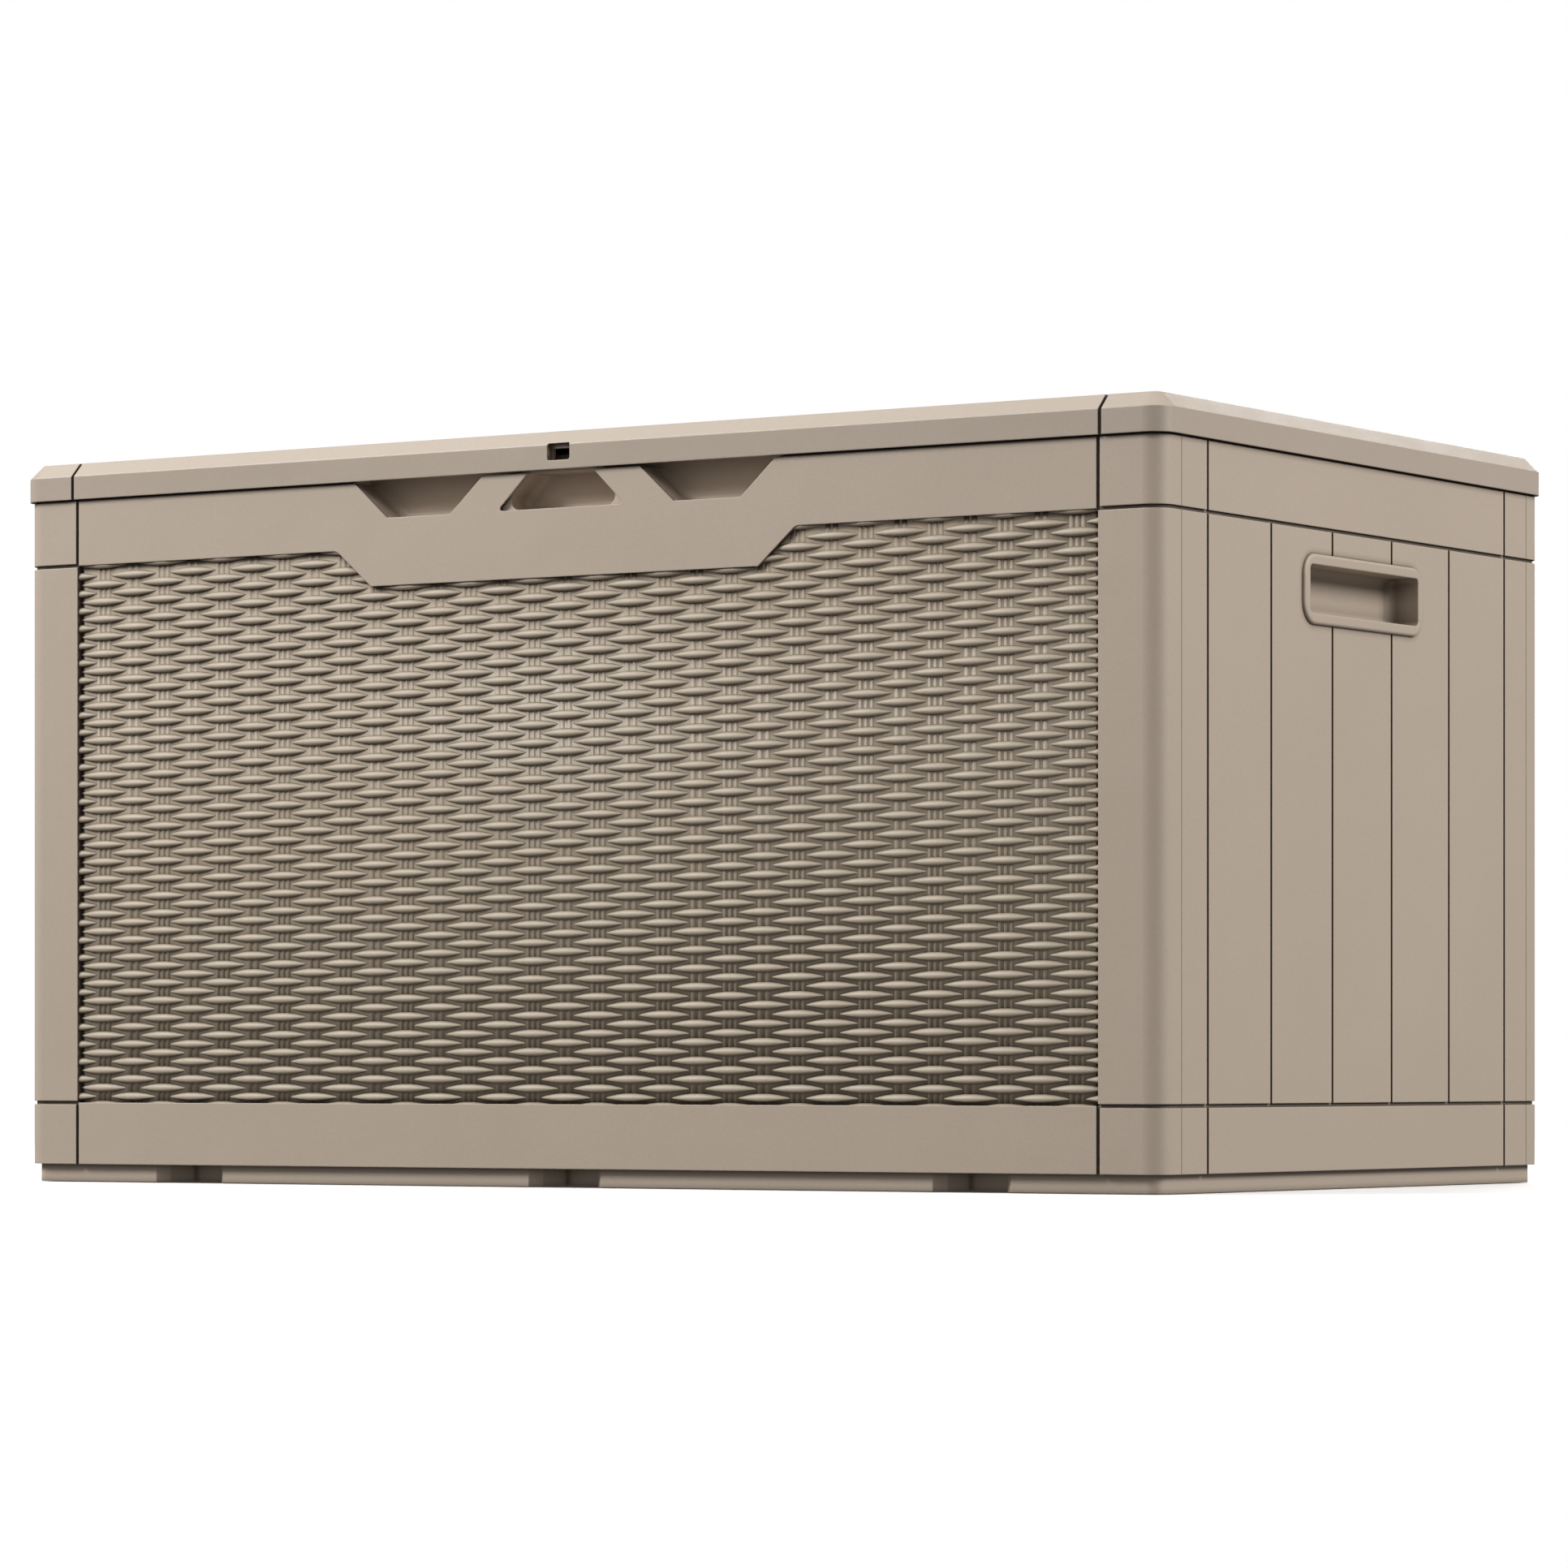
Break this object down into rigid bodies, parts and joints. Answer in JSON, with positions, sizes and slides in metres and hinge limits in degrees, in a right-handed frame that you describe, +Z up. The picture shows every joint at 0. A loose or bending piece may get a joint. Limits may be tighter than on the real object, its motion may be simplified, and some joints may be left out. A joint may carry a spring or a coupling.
{
  "type": "deck storage box",
  "caption": "Rectangular resin deck storage box with a hinged bevelled lid, woven-look front and back, planked ends, side hand pockets and finger grips under the lid.",
  "frame": {"origin": "on the ground, below the middle of the whole box, hinge lugs included", "axes": "+X along the length to the right end, +Y to the back, +Z up; the front faces -Y"},
  "size_m": [1.136, 0.68, 0.62],
  "materials": {
    "resin": "matte taupe resin with a fine moulded grain",
    "steel": "zinc plated steel, satin",
    "brace": "galvanised steel tube",
    "screw": "zinc plated screw steel",
    "rubber": "matte black rubber"
  },
  "bodies": {
    "box": {"base_panel": "resin", "front_panel": "resin", "back_panel": "resin", "left_panel": "resin", "right_panel": "resin", "left_handle_cup": "resin", "right_handle_cup": "resin", "grip_liner": "resin", "lock_tongue": "resin", "hinge_pin_1": "steel", "hinge_pin_2": "steel", "hinge_pin_3": "steel", "hinge_pin_4": "steel", "left_stay_track": "steel", "right_stay_track": "steel", "base_screws": "screw", "corner_screws": "screw", "liner_screws": "screw", "tongue_screws": "screw", "track_screws": "screw"},
    "lid": {"lid_panel": "resin", "lid_bumpers": "rubber", "front_lid_brace": "brace", "rear_lid_brace": "brace", "brace_saddles": "resin", "saddle_screws": "screw", "bracket_screws": "screw", "left_stay_bracket": "steel", "right_stay_bracket": "steel", "left_stay_pivot": "steel", "right_stay_pivot": "steel"},
    "left_stay": {"left_stay_arm": "steel", "left_stay_slider": "steel"},
    "right_stay": {"right_stay_arm": "steel", "right_stay_slider": "steel"}
  },
  "joints": [
    {"name": "lid_hinge", "type": "hinge", "parent": "box", "child": "lid", "pos_m": [0, 0.333, 0.58], "axis": [-1, 0, 0], "range_deg": [0, 78]},
    {"name": "left_stay_pivot_joint", "type": "hinge", "parent": "lid", "child": "left_stay", "pos_m": [-0.541, 0.0735, 0.598], "axis": [-1, 0, 0], "range_deg": [-156, 0]},
    {"name": "right_stay_pivot_joint", "type": "hinge", "parent": "lid", "child": "right_stay", "pos_m": [0.541, 0.0735, 0.598], "axis": [-1, 0, 0], "range_deg": [-156, 0]}
  ],
  "couplings": [
    {"joint": "left_stay_pivot_joint", "follows": "lid_hinge", "ratio": -2},
    {"joint": "right_stay_pivot_joint", "follows": "lid_hinge", "ratio": -2}
  ]
}
